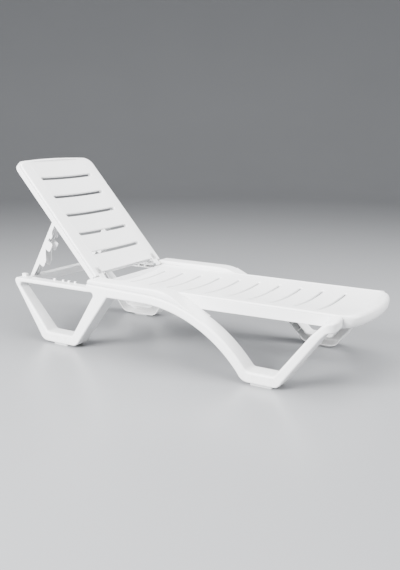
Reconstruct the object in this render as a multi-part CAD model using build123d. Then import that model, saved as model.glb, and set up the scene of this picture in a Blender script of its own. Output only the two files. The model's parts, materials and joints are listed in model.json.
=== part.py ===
# Reclining sun lounger, moulded in white resin: a slatted seat deck carried on two side
# frames, and a slatted backrest that hinges on the frames and is propped by a toothed stay.
#
# Millimetres. +X points to the foot end, +Y to the left of someone lying on it, +Z up.
# Everything is drawn with X = 0 on the backrest's hinge axis and Z = 0 on the ground,
# and is moved along X at the end, so that the origin is under the middle of the whole.
from build123d import *
from math import atan2, cos, degrees, hypot, radians, sin, sqrt, tan
import os

# ---- overall sizes ----
overall_width = 720.0          # across the outer faces of the feet
deck_height = 314.0            # ground to the top of the seat deck's border
deck_width = 498.0             # across the seat deck's skirts
deck_length = 1243.0           # seat deck, rear edge to the tip of the rounded foot end
backrest_length = 730.0        # hinge axis to the top edge of the backrest
backrest_width = 524.0         # across the front face of the backrest
recline_angle = 48.0           # backrest above the horizontal, as it stands

# ---- seat deck ----
deck_rear = 25.0               # hinge axis to the rear edge of the deck
skirt_depth = 60.0
deck_wall = 5.0
deck_border = 12.0             # flat border outside the dished slats
deck_dish = 20.0               # how far the slats sink in the middle
foot_end_radius = 760.0        # plan radius of the rounded foot end
foot_end_corner = 60.0
skirt_rise = 8.0               # the skirts are this much shallower where the roll begins
skirt_rise_from = 620.0
roll_depth = 52.0              # height of the rounded roll across the foot end
roll_width = 34.0
roll_round = 20.0
roll_length = 73.0             # how far back from the tip the shallower roll reaches
seat_slot_count = 10
seat_slot_first = 97.5         # hinge axis to the first slot
seat_slot_pitch = 106.5
seat_slot_width = 14.0
seat_slot_length = 330.0
deck_rib = 4.0
deck_rib_depth = 22.0
long_rib_gap = 12.0            # end of the slots to the rib along the deck

# ---- side frames ----
splay = 27.0                   # how far each frame leans out from deck height to the pads
frame_wall = 5.0
arch_depth = 80.0              # width of the arch along Y
head_leg_inner = 285.0         # centre line to the inner face of the head-end leg
rail_top = 294.0
rail_height = 20.0
rail_end_height = 26.0         # head end of the rail, before it turns down into the leg
frame_head_end = -465.0        # head end of the side rails
block_rear = -20.0             # rear face of the hinge block
block_slope = 6.0
shoulder_top = 331.0           # top of the hinge block and of the shoulder beside the deck
shoulder_end = 605.0           # where the shoulder runs into the arch's upper arc
shoulder_slope = 27.3          # degrees
shoulder_underside = 261.0
arch_centre = 295.0            # X of the centre of the arch's two arcs
arch_radius = 660.0            # outer, lower arc
arch_rib = 42.0                # thickness of the arch, across its curve
arch_web_count = 12            # stiffening webs inside the arch
arch_web_first, arch_web_pitch = 4.0, 3.9      # degrees from the top of the arch
shoulder_webs = (0.0, 140.0, 270.0)
web_thickness = 3.0
foot_thickness = 46.0
pad_height = 8.0
pad_inset = 12.0               # foot pad inside the flat of the foot, along X
pad_side_inset = 6.0
pad_corner = 8.0
head_foot_from, head_foot_to = -218.0, -110.0
foot_foot_from, foot_foot_to = 838.0, 962.0
head_leg_rear_run = 52.0       # outer corner of the head-end foot behind its flat
head_leg_front_run = 45.0
head_strut = 60.0              # head-side strut of the head-end leg, along X
back_strut = 54.0              # foot-side strut of the head-end leg, along X
back_strut_top = 108.0
toe_reach = 12.0               # outer corner of the foot-end foot past its flat
end_strut_low = 955.0          # foot-end strut's inner edge, at the top of the foot
end_strut_from = 1151.0        # its inner edge, at the top of its end block
end_strut_to = 1160.0          # its outer edge, where it meets the block's underside
end_block_face = 1192.0        # foot-side face of the end block
end_block_top = 312.0
end_block_fall = 17.0          # the block's top falls this much towards the outer face
end_block_corner = 42.0        # upright round between the block's outer and foot-side faces
end_block_height = 50.0
leg_outer_round, leg_inner_round = 60.0, 45.0
toe_round, heel_round = 40.0, 60.0
opening_round = 12.0
rail_end_rounds = (14.0, 30.0)
crook_round = 22.0             # where the arch meets the foot
strut_top_round = 30.0
end_block_rounds = (14.0, 14.0)
shoulder_round = 240.0
small_round = 8.0
ledge_from, ledge_to = -300.0, -60.0
ledge_thickness = 5.0
guide_studs = (-250.0, -195.0, -160.0, -120.0)
stud_length = 12.0
stud_top = 302.0
stud_gap = 3.0                 # guide studs to the side of the backrest lying flat
end_stop_from, end_stop_to = -455.0, -427.0
end_stop_top = 308.0
end_stop_width = 20.0

# ---- rear crossbar ----
bar_from, bar_to = -461.0, -421.0
bar_top = 288.0
bar_height = 38.0
bar_wall = 4.0
trough_depth = 22.0
trough_end = 25.0              # solid end of the crossbar, beside the trough
lip_round = 1.5
bracket_depth = 20.0
bracket_wall = 4.0
bracket_top = 290.0
bar_inset = 5.0                # crossbar's end inside the frame

# ---- hinge ----
hinge_height = 316.0
front_above_axis = 8.0         # front face of the backrest, above the hinge axis when flat
pin_radius = 5.0
pin_head_radius = 8.0
pin_head = 3.0
hinge_boss_radius = 14.0
hinge_boss_length = 50.0
lug_width = 34.0
lug_past_axis = 11.0
washer_radius, washer_thickness = 11.0, 8.5
running_clearance = 0.08       # radial, pin in a turning bore
static_clearance = 0.2         # radial, screw or pin in a fixed bore
side_gap = 0.5                 # between faces of pieces that turn past each other

# ---- backrest ----
plate = 5.0
front_step = 8.0               # front plate above the rim's shoulder
rim_out = 12.0                 # rim stands out past the front plate
rim_depth = 30.0               # front face to the back edge of the rim
backrest_arch = 3160.0         # radius of the gently arched top edge
backrest_corner = 38.0
backrest_dish = 7.0
dish_width = 400.0
plate_below_step = 4.0         # front plate below the rim's shoulder
front_round = 2.5
lug_overlap = 30.0             # hinge lug's length up the panel
rim_bottom = 22.0              # hinge axis to the lower end of the rim
panel_bottom = 36.0            # hinge axis to the lowest slat's edge
back_slot_count = 5
back_slot_first = 144.0
back_slot_pitch = 114.6
back_slot_width = 18.0
back_slot_length = 372.0
back_rib = 4.0
back_rib_depth = 16.0

# ---- support stay ----
stay_pivot_along = 380.0       # hinge axis to the stay's pivot, along the backrest
stay_pivot_below = 12.0        # pivot behind the hinge axis plane
stay_foot_offset = 3.0         # stay's foot behind the middle of the crossbar
arm_inner, arm_outer = 198.0, 242.0
arm_wall = 4.0
arm_web = 12.0                 # pivot line to the web's outer face
arm_neck = 8.0                 # pivot line to the other edge of the neck
arm_head = 10.0                # pivot to the rounded upper end
arm_head_round = 8.5
arm_boss = 11.0                # radius of the solid round the pivot's bore
neck_length = 78.0
collar_length = 17.0           # neck to the full width of the collar
collar_reach = 20.0
tooth_reach = 40.0             # pivot line to the tips of the teeth
tooth_root = 11.0              # pivot line to the bottom of the gullets
tooth_tip = 5.0
first_slot = 113.0             # pivot to the upper edge of the first slot
first_slot_width = 17.0
first_slot_root = 7.0
first_tooth = 46.0             # length of the tooth below the first slot
tooth_pitch = 91.0
tooth_flank = 51.0
arm_end = 6.0                  # pivot line to the foot's inner edge
arm_end_taper = 30.0
arm_end_cap = 14.0
arm_end_round = 5.0
foot_clearance = 7.5           # arm's foot above the floor of the trough
arm_side_clearance = 3.0
stay_pin_radius = 5.0
stay_pin_head, stay_pin_head_radius = 3.0, 8.0
ear_gap = 6.0                  # arm to the ears on both sides
ear_radius = 10.0
clip_thickness, clip_width = 3.0, 3.0
clip_groove_end = 2.0
tie_from, tie_to = 20.0, 44.0
tie_low, tie_high = 3.0, 7.0   # pivot line to the tie's two faces

# ---- screws ----
screw_radius = 3.0
screw_head_radius = 7.0
screw_head = 4.0
screw_length = 26.0
boss_radius = 8.0
recess_gap = 1.5               # screw head in its recess
frame_screw_places = ((75.0, 290.0), (205.0, 290.0), (335.0, 290.0), (1144.0, 284.0))
bar_screw_places = (-451.0, -431.0)
bar_screw_height = 258.0

# ---- worked out ----
half_deck = deck_width / 2
half_width = overall_width / 2
half_back = backrest_width / 2
deck_tip = deck_rear + deck_length
deck_bottom = deck_height - skirt_depth
tilt = degrees(atan2(splay, deck_height - pad_height))
bar_middle = (bar_from + bar_to) / 2
bar_bottom = bar_top - bar_height
bar_end = head_leg_inner - bar_inset
lug_outer = half_deck - washer_thickness - side_gap
lug_inner = lug_outer - lug_width
arm_middle = (arm_inner + arm_outer) / 2
arm_width = arm_outer - arm_inner
ears = (arm_inner - ear_gap - back_rib / 2, arm_outer + ear_gap + back_rib / 2)
big = 4000.0                   # larger than the whole, for cutting


def block(x0, x1, y0, y1, z0, z1):
    """A box between two corners."""
    return Pos((x0 + x1) / 2, (y0 + y1) / 2, (z0 + z1) / 2) * Box(x1 - x0, y1 - y0, z1 - z0)


def rod_y(x, z, radius, y0, y1):
    """A cylinder along Y."""
    return Pos(x, (y0 + y1) / 2, z) * Rot(90, 0, 0) * Cylinder(radius, abs(y1 - y0))


def upright(outline, y0, y1):
    """Extrude an outline drawn in X and Z from y0 to y1."""
    plane = Plane(origin=(0, y0, 0), x_dir=(1, 0, 0), z_dir=(0, -1, 0))
    return extrude(plane * outline, y0 - y1)


def one(shape):
    """The largest solid of a shape, without any crumb that a cut left."""
    return max(shape.solids(), key=lambda solid: solid.volume)


def mirrored(shape):
    """The left-hand copy of a right-hand piece."""
    return mirror(shape, Plane.XZ)


def rounded_corners(face, corners):
    """Round the corners of a face that lie nearest to the points given, each with its radius."""
    for (x, y), radius in corners:
        corner = min(face.vertices(), key=lambda v: hypot(v.X - x, v.Y - y))
        face = fillet(corner, radius)
    return face


# ---------------------------------------------------------------- seat deck
def deck_plan(inset, front_inset):
    """Plan of the deck, drawn in by a margin, with its rounded foot end."""
    half = half_deck - inset
    tip = deck_tip - front_inset
    radius = foot_end_radius - front_inset
    corner = tip - radius + sqrt(radius**2 - half**2)
    lines = [
        Line((corner, -half), (deck_rear, -half)),
        Line((deck_rear, -half), (deck_rear, half)),
        Line((deck_rear, half), (corner, half)),
        ThreePointArc((corner, half), (tip, 0), (corner, -half)),
    ]
    plan = make_face(Curve() + lines)
    round_off = max(foot_end_corner - inset, small_round / 2)
    return fillet(plan.vertices().group_by(Axis.X)[-1], round_off)


def make_deck():
    """The seat deck: dished slats in a flat border, skirts, ribs below, a roll across the foot end."""
    outer = Pos(0, 0, deck_bottom) * extrude(deck_plan(0, 0), skirt_depth)
    rim_edges = outer.faces().sort_by(Axis.Z)[-1].edges().filter_by(GeomType.LINE, reverse=True)
    outer = fillet(rim_edges, roll_round)
    dish_half = half_deck - deck_border
    dish_radius = (dish_half**2 + deck_dish**2) / (2 * deck_dish)
    dish_axis = deck_height - deck_dish + dish_radius
    along = Pos(deck_rear + deck_length / 2, 0, dish_axis) * Rot(0, 90, 0)
    well = Pos(0, 0, deck_bottom) * extrude(deck_plan(deck_border, roll_width), 2 * skirt_depth)
    outer -= well & along * Cylinder(dish_radius, 2 * deck_length)
    # a thin shell, open below
    under = along * Cylinder(dish_radius + deck_wall, 2 * deck_length)
    inside = Pos(0, 0, deck_bottom - 1) * extrude(deck_plan(deck_wall, roll_width), skirt_depth + 1)
    outer -= inside - under
    # the roll across the foot end is shallower than the skirts
    outer -= block(deck_tip - roll_length, deck_tip + 1, -half_deck, half_deck,
                   deck_bottom - 1, deck_height - roll_depth)
    # the skirts rise a little towards the foot end
    rise = make_face(Polyline((skirt_rise_from, deck_bottom - skirt_rise),
                              (skirt_rise_from, deck_bottom),
                              (deck_tip - roll_length, deck_bottom + skirt_rise),
                              (deck_tip + 1, deck_bottom + skirt_rise),
                              (deck_tip + 1, deck_bottom - skirt_rise), close=True))
    outer -= upright(rise, -half_deck - 1, half_deck + 1)
    # ribs under the slats, between the slots, and two along the deck
    web = along * Cylinder(dish_radius + deck_wall / 2, 2 * deck_length)
    room = deck_plan(deck_wall / 2, roll_width - deck_wall / 2)
    room = Pos(0, 0, deck_bottom) * extrude(room, skirt_depth)
    rib_bottom = deck_height - deck_dish - deck_wall - deck_rib_depth
    ribs = []
    for i in range(seat_slot_count + 1):
        x = seat_slot_first + (i - 0.5) * seat_slot_pitch
        ribs.append(block(x - deck_rib / 2, x + deck_rib / 2, -half_deck, half_deck,
                          rib_bottom, deck_height))
    for side in (-1, 1):
        y = side * (seat_slot_length / 2 + long_rib_gap)
        ribs.append(block(deck_rear, deck_tip, y - deck_rib / 2, y + deck_rib / 2,
                          rib_bottom, deck_height))
    ribs.append(block(deck_rear, deck_rear + deck_wall, -half_deck, half_deck,
                      rib_bottom, deck_height))
    for rib in ribs:
        outer += (rib & room) - web
    for i in range(seat_slot_count):
        x = seat_slot_first + i * seat_slot_pitch
        slot = Pos(x, 0, 0) * Rot(0, 0, 90) * SlotOverall(seat_slot_length, seat_slot_width)
        outer -= extrude(slot, 2 * deck_height)
    for x, z in frame_screw_places:
        outer -= rod_y(x, z, screw_radius + static_clearance, -half_deck - 1, half_deck + 1)
    return one(outer)


# ---------------------------------------------------------------- side frame
def arc_z(x, radius):
    """Height of an arc of the arch at x."""
    return shoulder_underside - arch_radius + sqrt(radius**2 - (x - arch_centre) ** 2)


def arc_x(z, radius):
    """Where an arc of the arch comes down to height z."""
    return arch_centre + sqrt(radius**2 - (z - shoulder_underside + arch_radius) ** 2)


def frame_outline():
    """The frame seen from the side, with the opening of its head-end leg."""
    top_radius = arch_radius + arch_rib
    floor, foot_top = pad_height, pad_height + foot_thickness
    rail_end_low = (frame_head_end, rail_top - rail_end_height)
    rail_end_high = (frame_head_end, rail_top)
    block_low = (block_rear, rail_top)
    block_high = (block_rear + block_slope, shoulder_top)
    merge = (shoulder_end, arc_z(shoulder_end, top_radius))
    knee = (shoulder_end - (shoulder_top - merge[1]) / tan(radians(shoulder_slope)), shoulder_top)
    crook = (arc_x(foot_top, top_radius), foot_top)
    strut_low = (end_strut_low, foot_top)
    strut_high = (end_strut_from, end_block_top)
    end_high = (end_block_face, end_block_top)
    end_low = (end_block_face, end_block_top - end_block_height)
    strut_meet = (end_strut_to, end_block_top - end_block_height)
    toe = (foot_foot_to + toe_reach, floor)
    heel = (arc_x(floor, arch_radius), floor)
    crown = (arch_centre, shoulder_underside)
    armpit = (back_strut_top, shoulder_underside)
    leg_front = (head_foot_to + head_leg_front_run, floor)
    leg_rear = (head_foot_from - head_leg_rear_run, floor)
    middle_above = (merge[0] + crook[0]) / 2
    middle_below = (crown[0] + heel[0]) / 2
    straight = [rail_end_low, rail_end_high, block_low, block_high, knee, merge]
    edges = [Line(a, b) for a, b in zip(straight, straight[1:])]
    edges.append(ThreePointArc(merge, (middle_above, arc_z(middle_above, top_radius)), crook))
    straight = [crook, strut_low, strut_high, end_high, end_low, strut_meet, toe, heel]
    edges += [Line(a, b) for a, b in zip(straight, straight[1:])]
    edges.append(ThreePointArc(heel, (middle_below, arc_z(middle_below, arch_radius)), crown))
    straight = [crown, armpit, leg_front, leg_rear, rail_end_low]
    edges += [Line(a, b) for a, b in zip(straight, straight[1:])]
    face = rounded_corners(make_face(Curve() + edges), [
        (rail_end_high, rail_end_rounds[0]), (rail_end_low, rail_end_rounds[1]),
        (leg_rear, leg_outer_round), (leg_front, leg_inner_round),
        (heel, heel_round), (toe, toe_round), (crook, crook_round), (strut_low, opening_round),
        (armpit, small_round), (strut_meet, small_round), (end_high, end_block_rounds[0]),
        (end_low, end_block_rounds[1]), (strut_high, strut_top_round), (knee, shoulder_round),
        (block_high, small_round), (block_low, small_round / 2),
    ])
    # opening of the head-end leg
    rail_bottom = rail_top - rail_height
    rear_slope = (rail_end_low[0] - leg_rear[0]) / (rail_end_low[1] - floor)
    front_slope = (armpit[0] - leg_front[0]) / (armpit[1] - floor)
    rear_x = leg_rear[0] + head_strut
    front_x = leg_front[0] - back_strut
    opening = make_face(Polyline(
        (rear_x + rear_slope * (rail_bottom - floor), rail_bottom),
        (rear_x + rear_slope * foot_thickness, foot_top),
        (front_x + front_slope * foot_thickness, foot_top),
        (front_x + front_slope * (rail_bottom - floor), rail_bottom), close=True))
    return face - fillet(opening.vertices(), opening_round)


def beyond_outer_face(gap):
    """Everything outside the leaning outer face of the right frame, moved in by a gap."""
    inward = gap / cos(radians(tilt))
    return Pos(0, -half_width + inward, pad_height) * Rot(-tilt, 0, 0) * block(
        -big, big, -big, 0, -big, big)


def beyond_end_block(gap):
    """What lies above the end block's falling top, and past its rounded upright corner."""
    start = end_block_face - end_block_corner
    fall = degrees(atan2(end_block_fall, half_width - splay - half_deck))
    above = Pos(0, -half_deck, end_block_top - gap) * Rot(fall, 0, 0) * block(
        start - big, big, -big, big, 0, big)
    above &= block(end_strut_from - end_block_corner, big, -big, 0, 0, big)
    past = block(start, big, -big, end_block_corner, -big, big)
    past -= Pos(start, end_block_corner, 0) * Cylinder(end_block_corner - gap, 2 * big)
    past = Pos(0, -half_width, pad_height) * Rot(-tilt, 0, 0) * past
    return above, past


def beyond_inner_face():
    """What lies inside the frame: inboard of the deck's skirt, of the arch and of the leg."""
    arch_side = Pos(0, -half_width + arch_depth, pad_height) * Rot(-tilt, 0, 0) * block(
        -big, big, 0, big, -big, big)
    arch_side &= block(block_rear, big, -big, big, -big, deck_bottom)
    skirt_side = block(block_rear, big, -half_deck, big, -big, big)
    leg_side = block(-big, block_rear, -head_leg_inner, big, -big, big)
    return arch_side + skirt_side + leg_side


def make_frame():
    """The right-hand frame, a hollow moulding open on its inner side."""
    outline = frame_outline()
    solid = one(upright(outline, -big, 0) - beyond_outer_face(0) - beyond_inner_face())
    hollow = upright(offset(outline, -frame_wall, kind=Kind.INTERSECTION), -big, 0)
    hollow -= beyond_outer_face(frame_wall)
    for cut, inner_cut in zip(beyond_end_block(0), beyond_end_block(frame_wall)):
        solid -= cut
        hollow -= inner_cut
    # webs across the arch and the shoulder
    middle = arch_radius + arch_rib / 2
    for i in range(arch_web_count):
        angle = arch_web_first + arch_web_pitch * i
        x = arch_centre + middle * sin(radians(angle))
        z = shoulder_underside - arch_radius + middle * cos(radians(angle))
        web = Box(web_thickness, 2 * half_width + 2 * arch_depth, 2 * arch_rib)
        hollow -= Pos(x, 0, z) * Rot(0, angle, 0) * web
    for x in shoulder_webs:
        hollow -= block(x - web_thickness / 2, x + web_thickness / 2, -big, 0,
                        shoulder_underside, shoulder_top)
    # solid seats for the hinge pin and the screws
    hollow -= rod_y(0, hinge_height, hinge_boss_radius, -big, 0)
    for x, z in frame_screw_places:
        hollow -= rod_y(x, z, boss_radius, -big, 0)
    solid -= hollow
    # ledge along the rail's inner side, with the studs that guide the backrest down
    inner_edge = -(half_back + rim_out + stud_gap)
    ledge_top = rail_top - rail_height + ledge_thickness
    solid += block(ledge_from, ledge_to, -head_leg_inner - frame_wall, inner_edge,
                   rail_top - rail_height, ledge_top)
    for x in guide_studs:
        solid += block(x - stud_length / 2, x + stud_length / 2, -head_leg_inner - frame_wall / 2,
                       inner_edge, ledge_top - 1, stud_top)
    # bracket that takes the end of the rear crossbar, and the stop that stands over it
    bracket = block(bar_from - bracket_wall, bar_to + bracket_wall, -head_leg_inner - frame_wall,
                    -head_leg_inner + bracket_depth, bar_bottom - bracket_wall, bracket_top)
    bracket -= block(bar_from, bar_to, -bar_end, 0, bar_bottom, bracket_top + 1)
    solid += bracket
    solid += block(end_stop_from, end_stop_to, inner_edge - end_stop_width, inner_edge,
                   bracket_top - 1, end_stop_top)
    for x in bar_screw_places:
        solid -= rod_y(x, bar_screw_height, screw_radius + static_clearance, -big, 0)
        solid -= rod_y(x, bar_screw_height, screw_head_radius + recess_gap, -big,
                       -head_leg_inner - bracket_wall)
    solid -= rod_y(0, hinge_height, pin_radius + static_clearance, -half_deck - hinge_boss_length, 0)
    for x, z in frame_screw_places:
        solid -= rod_y(x, z, screw_radius + static_clearance, -half_deck - screw_length, 0)
    return one(solid)


def make_pads():
    """The two pads under the right frame's feet, by name."""
    pads = {}
    for end, x0, x1 in (("head", head_foot_from, head_foot_to), ("foot", foot_foot_from, foot_foot_to)):
        pad = block(x0 + pad_inset, x1 - pad_inset, -half_width + pad_side_inset,
                    -half_width + arch_depth - 2 * pad_side_inset, 0, pad_height)
        pads[end] = fillet(pad.edges().filter_by(Axis.Z), pad_corner)
    # the head-end leg is narrower than the arch
    inner = min(-half_width + arch_depth - 2 * pad_side_inset, -head_leg_inner - pad_side_inset)
    pads["head"] -= block(-big, big, inner, big, -big, big)
    return pads


# ---------------------------------------------------------------- crossbar
def make_crossbar():
    """A bar across the head end, with a trough along its top for the stay's feet."""
    trough_floor = bar_top - trough_depth
    half_trough = bar_end - trough_end
    bar = block(bar_from, bar_to, -bar_end, bar_end, bar_bottom, bar_top)
    bar -= block(bar_from + bar_wall, bar_to - bar_wall, -half_trough, half_trough,
                 trough_floor, bar_top + 1)
    bar -= block(bar_from + bar_wall, bar_to - bar_wall, -half_trough, half_trough,
                 bar_bottom - 1, trough_floor - bar_wall)
    for x in bar_screw_places:
        bar -= rod_y(x, bar_screw_height, screw_radius + static_clearance, -bar_end - 1, bar_end + 1)
    lips = bar.edges().filter_by(Axis.Y).group_by(Axis.Z)[-1]
    bar = fillet(lips, lip_round)
    # the lip on the head side is open where the arms swing out
    for side in (-1, 1):
        y = side * arm_middle
        half = arm_width / 2 + arm_side_clearance
        bar -= block(bar_from - 1, bar_from + bar_wall + 1, y - half, y + half,
                     trough_floor, bar_top + 1)
    return one(bar)


# ---------------------------------------------------------------- backrest
def back_plan(grow, bottom):
    """Plan of the backrest lying flat, grown by a margin, from the top edge down to bottom."""
    half = half_back + grow
    top = -(backrest_length - rim_out + grow)
    radius = backrest_arch
    corner = top + radius - sqrt(radius**2 - half**2)
    lines = [
        Line((-bottom, -half), (corner, -half)),
        ThreePointArc((corner, -half), (top, 0), (corner, half)),
        Line((corner, half), (-bottom, half)),
        Line((-bottom, half), (-bottom, -half)),
    ]
    plan = make_face(Curve() + lines)
    return fillet(plan.vertices().group_by(Axis.X)[0], backrest_corner + grow)


def hinge_lug(y0, y1):
    """The stile's lower end, rounded about the hinge axis."""
    lug = block(-panel_bottom - lug_overlap, 0, y0, y1, -lug_past_axis, front_above_axis)
    round_end = rod_y(0, 0, lug_past_axis, y0, y1)
    return lug + (round_end & block(-big, big, y0, y1, -big, front_above_axis))


def make_backrest():
    """The backrest panel lying flat, hinge axis on the Y axis, front face up."""
    front = front_above_axis
    back = front - rim_depth
    plate_depth = front_step + plate_below_step
    panel = Pos(0, 0, front - plate_depth) * extrude(back_plan(0, rim_bottom), plate_depth)
    panel += Pos(0, 0, back) * extrude(back_plan(rim_out, rim_bottom), rim_depth - front_step)
    panel = fillet(panel.faces().sort_by(Axis.Z)[-1].edges(), front_round)
    # shallow dish across the slats
    dish_radius = ((dish_width / 2) ** 2 + backrest_dish**2) / (2 * backrest_dish)
    along = Pos(-backrest_length / 2, 0, front - backrest_dish + dish_radius) * Rot(0, 90, 0)
    panel -= along * Cylinder(dish_radius, 2 * backrest_length)
    # hollow back
    under = along * Cylinder(dish_radius + plate, 2 * backrest_length)
    hollow = back_plan(-plate, rim_bottom + plate)
    hollow = Pos(0, 0, back - 1) * extrude(hollow, rim_depth + 1 - plate)
    wide = back_plan(rim_out - plate, rim_bottom + plate)
    hollow += Pos(0, 0, back - 1) * extrude(wide, rim_depth - front_step - plate + 1)
    panel -= hollow - under
    # ribs: along the stiles, and across between the slots
    web = along * Cylinder(dish_radius + plate / 2, 2 * backrest_length)
    room = Pos(0, 0, back) * extrude(back_plan(-plate / 2, rim_bottom), rim_depth - plate / 2)
    rib_low = front - plate - back_rib_depth
    ribs = []
    for side in (-1, 1):
        for y in ears:
            ribs.append(block(-backrest_length, -rim_bottom, side * y - back_rib / 2,
                              side * y + back_rib / 2, rib_low, front))
    for i in range(back_slot_count + 1):
        x = -(back_slot_first + (i - 0.5) * back_slot_pitch)
        ribs.append(block(x - back_rib / 2, x + back_rib / 2, -ears[0], ears[0], rib_low, front))
    for rib in ribs:
        panel += (rib & room) - web
    # ears that carry the stay's pins
    for side in (-1, 1):
        for y in ears:
            ear = rod_y(-stay_pivot_along, -stay_pivot_below, ear_radius,
                        side * y - back_rib / 2, side * y + back_rib / 2)
            panel += ear & block(-big, big, -big, big, back, front - plate / 2)
    for i in range(back_slot_count):
        x = -(back_slot_first + i * back_slot_pitch)
        slot = Pos(x, 0, back) * Rot(0, 0, 90) * SlotOverall(back_slot_length, back_slot_width)
        panel -= extrude(slot, 2 * rim_depth)
    # the panel stops above the hinge, and only the two stiles run down to it
    panel -= block(-panel_bottom, big, -lug_inner, lug_inner, -big, big)
    for side in (-1, 1):
        y0, y1 = sorted((side * lug_inner, side * lug_outer))
        panel += hinge_lug(y0, y1)
        panel -= rod_y(0, 0, pin_radius + running_clearance, y0 - 1, y1 + 1)
        panel -= rod_y(-stay_pivot_along, -stay_pivot_below, stay_pin_radius + static_clearance,
                       side * (ears[0] - back_rib), side * (ears[1] + back_rib))
    return one(panel)


# ---------------------------------------------------------------- stay
def stay_pivot():
    """The stay's pivot, with the backrest as it stands."""
    turn = radians(recline_angle)
    x = -stay_pivot_along * cos(turn) - stay_pivot_below * sin(turn)
    z = hinge_height + stay_pivot_along * sin(turn) - stay_pivot_below * cos(turn)
    return x, z


def stay_line():
    """Length of the stay, and the angle at which it stands, from its pivot to the trough."""
    x, z = stay_pivot()
    foot_x = bar_middle - stay_foot_offset
    foot_z = bar_top - trough_depth + foot_clearance
    return hypot(x - foot_x, z - foot_z), degrees(atan2(z - foot_z, x - foot_x))


def flange_outline(length):
    """A flange of the stay: pivot at the origin, foot along +X, teeth towards +Y."""
    slot_end = first_slot + first_slot_width
    points = [(-arm_head, -arm_web), (-arm_head, arm_neck), (neck_length, arm_neck),
              (neck_length + collar_length, collar_reach), (first_slot, collar_reach),
              (first_slot, first_slot_root), (slot_end, first_slot_root),
              (slot_end, tooth_reach - tooth_tip), (slot_end + tooth_tip, tooth_reach)]
    tooth_end = slot_end + first_tooth
    points += [(tooth_end - tooth_tip, tooth_reach), (tooth_end, tooth_reach - tooth_tip),
               (tooth_end, tooth_root), (tooth_end + tooth_flank, tooth_reach)]
    tooth_end += tooth_pitch
    points += [(tooth_end - tooth_tip, tooth_reach), (tooth_end, tooth_reach - tooth_tip),
               (tooth_end, tooth_root)]
    points += [(length - arm_end_taper, arm_end), (length, arm_end), (length, -arm_web)]
    return rounded_corners(make_face(Polyline(*points, close=True)), [
        ((-arm_head, -arm_web), arm_head_round), ((-arm_head, arm_neck), arm_head_round),
        ((length, arm_end), arm_end_round), ((length, -arm_web), arm_end_round),
    ])


def make_arm():
    """One arm, a channel with its web on the head side. Pivot at the origin, foot along +X."""
    length, _ = stay_line()
    plane = Plane(origin=(0, 0, 0), x_dir=(1, 0, 0), z_dir=(0, -1, 0))
    half = arm_width / 2
    arm = extrude(plane * flange_outline(length), half, both=True)
    gap = block(-big, length - arm_end_cap, -half + arm_wall, half - arm_wall,
                -arm_web + arm_wall, big)
    arm -= gap - rod_y(0, 0, arm_boss, -half, half)
    arm -= rod_y(0, 0, stay_pin_radius + running_clearance, -half - 1, half + 1)
    return one(arm)


def make_tie():
    """Plate that joins the two arms, on the side of the teeth."""
    return block(tie_from, tie_to, -arm_inner, arm_inner, tie_low, tie_high)


# ---------------------------------------------------------------- small pieces
def make_hinge_pin():
    """The right-hand hinge pin: fixed in the frame, the backrest's lug turns on it."""
    inner_end = -lug_inner + side_gap
    shank = rod_y(0, hinge_height, pin_radius, -half_deck - hinge_boss_length + 1, inner_end)
    head = rod_y(0, hinge_height, pin_head_radius, inner_end, inner_end + pin_head)
    return one(shank + head)


def make_hinge_washer():
    """The washer between the backrest's lug and the frame."""
    ring = rod_y(0, hinge_height, washer_radius, -half_deck, -half_deck + washer_thickness)
    return one(ring - rod_y(0, hinge_height, pin_radius + static_clearance, -half_deck - 1,
                            -lug_outer + 1))


def make_stay_pin():
    """The pin of the right arm, headed on its inner side. Drawn with the backrest flat."""
    x, z = -stay_pivot_along, -stay_pivot_below
    inner_face = -(ears[0] - back_rib / 2)
    outer_end = -(ears[1] + back_rib / 2 + side_gap + clip_thickness + clip_groove_end)
    head = rod_y(x, z, stay_pin_head_radius, inner_face, inner_face + stay_pin_head)
    return one(rod_y(x, z, stay_pin_radius, outer_end, inner_face) + head)


def make_stay_clip():
    """The clip that keeps the right arm's pin in its ears. Drawn with the backrest flat."""
    x, z = -stay_pivot_along, -stay_pivot_below
    inner = -(ears[1] + back_rib / 2 + side_gap)
    ring = rod_y(x, z, stay_pin_radius + clip_width, inner - clip_thickness, inner)
    return one(ring - rod_y(x, z, stay_pin_radius + running_clearance, inner - clip_thickness - 1,
                            inner + 1))


def make_screw(x, z, seat, outward):
    """A screw along Y, its head standing on the plane y = seat, its shank pointing outward."""
    shank = rod_y(x, z, screw_radius, seat, seat + outward * screw_length)
    head = rod_y(x, z, screw_head_radius, seat - outward * screw_head, seat)
    return one(shank + head)


def raised(shape):
    """Turn a piece drawn with the backrest flat to where it stands."""
    return Pos(0, 0, hinge_height) * Rot(0, recline_angle, 0) * shape


def standing_stay(shape, y):
    """Put a piece drawn along the stay in its place."""
    x, z = stay_pivot()
    return Pos(x, y, z) * Rot(0, 180 - stay_line()[1], 0) * shape


def build():
    """Every piece by name."""
    frame, arm, pads = make_frame(), make_arm(), make_pads()
    parts = {
        "seat_deck": make_deck(),
        "rear_crossbar": make_crossbar(),
        "backrest_panel": raised(make_backrest()),
        "stay_tie": standing_stay(make_tie(), 0),
    }
    right_hand = {
        "side_frame": frame,
        "hinge_pin": make_hinge_pin(),
        "hinge_washer": make_hinge_washer(),
        "stay_arm": standing_stay(arm, -arm_middle),
        "stay_pin": raised(make_stay_pin()),
        "stay_pin_clip": raised(make_stay_clip()),
        "frame_screws": Compound([make_screw(x, z, -half_deck + deck_wall, -1)
                                  for x, z in frame_screw_places]),
        "crossbar_screws": Compound([make_screw(x, bar_screw_height, -head_leg_inner - bracket_wall, 1)
                                     for x in bar_screw_places]),
        "head_foot_pad": pads["head"],
        "foot_foot_pad": pads["foot"],
    }
    for name, shape in right_hand.items():
        parts[name + "_right"] = shape
        parts[name + "_left"] = mirrored(shape)
    return parts


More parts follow.
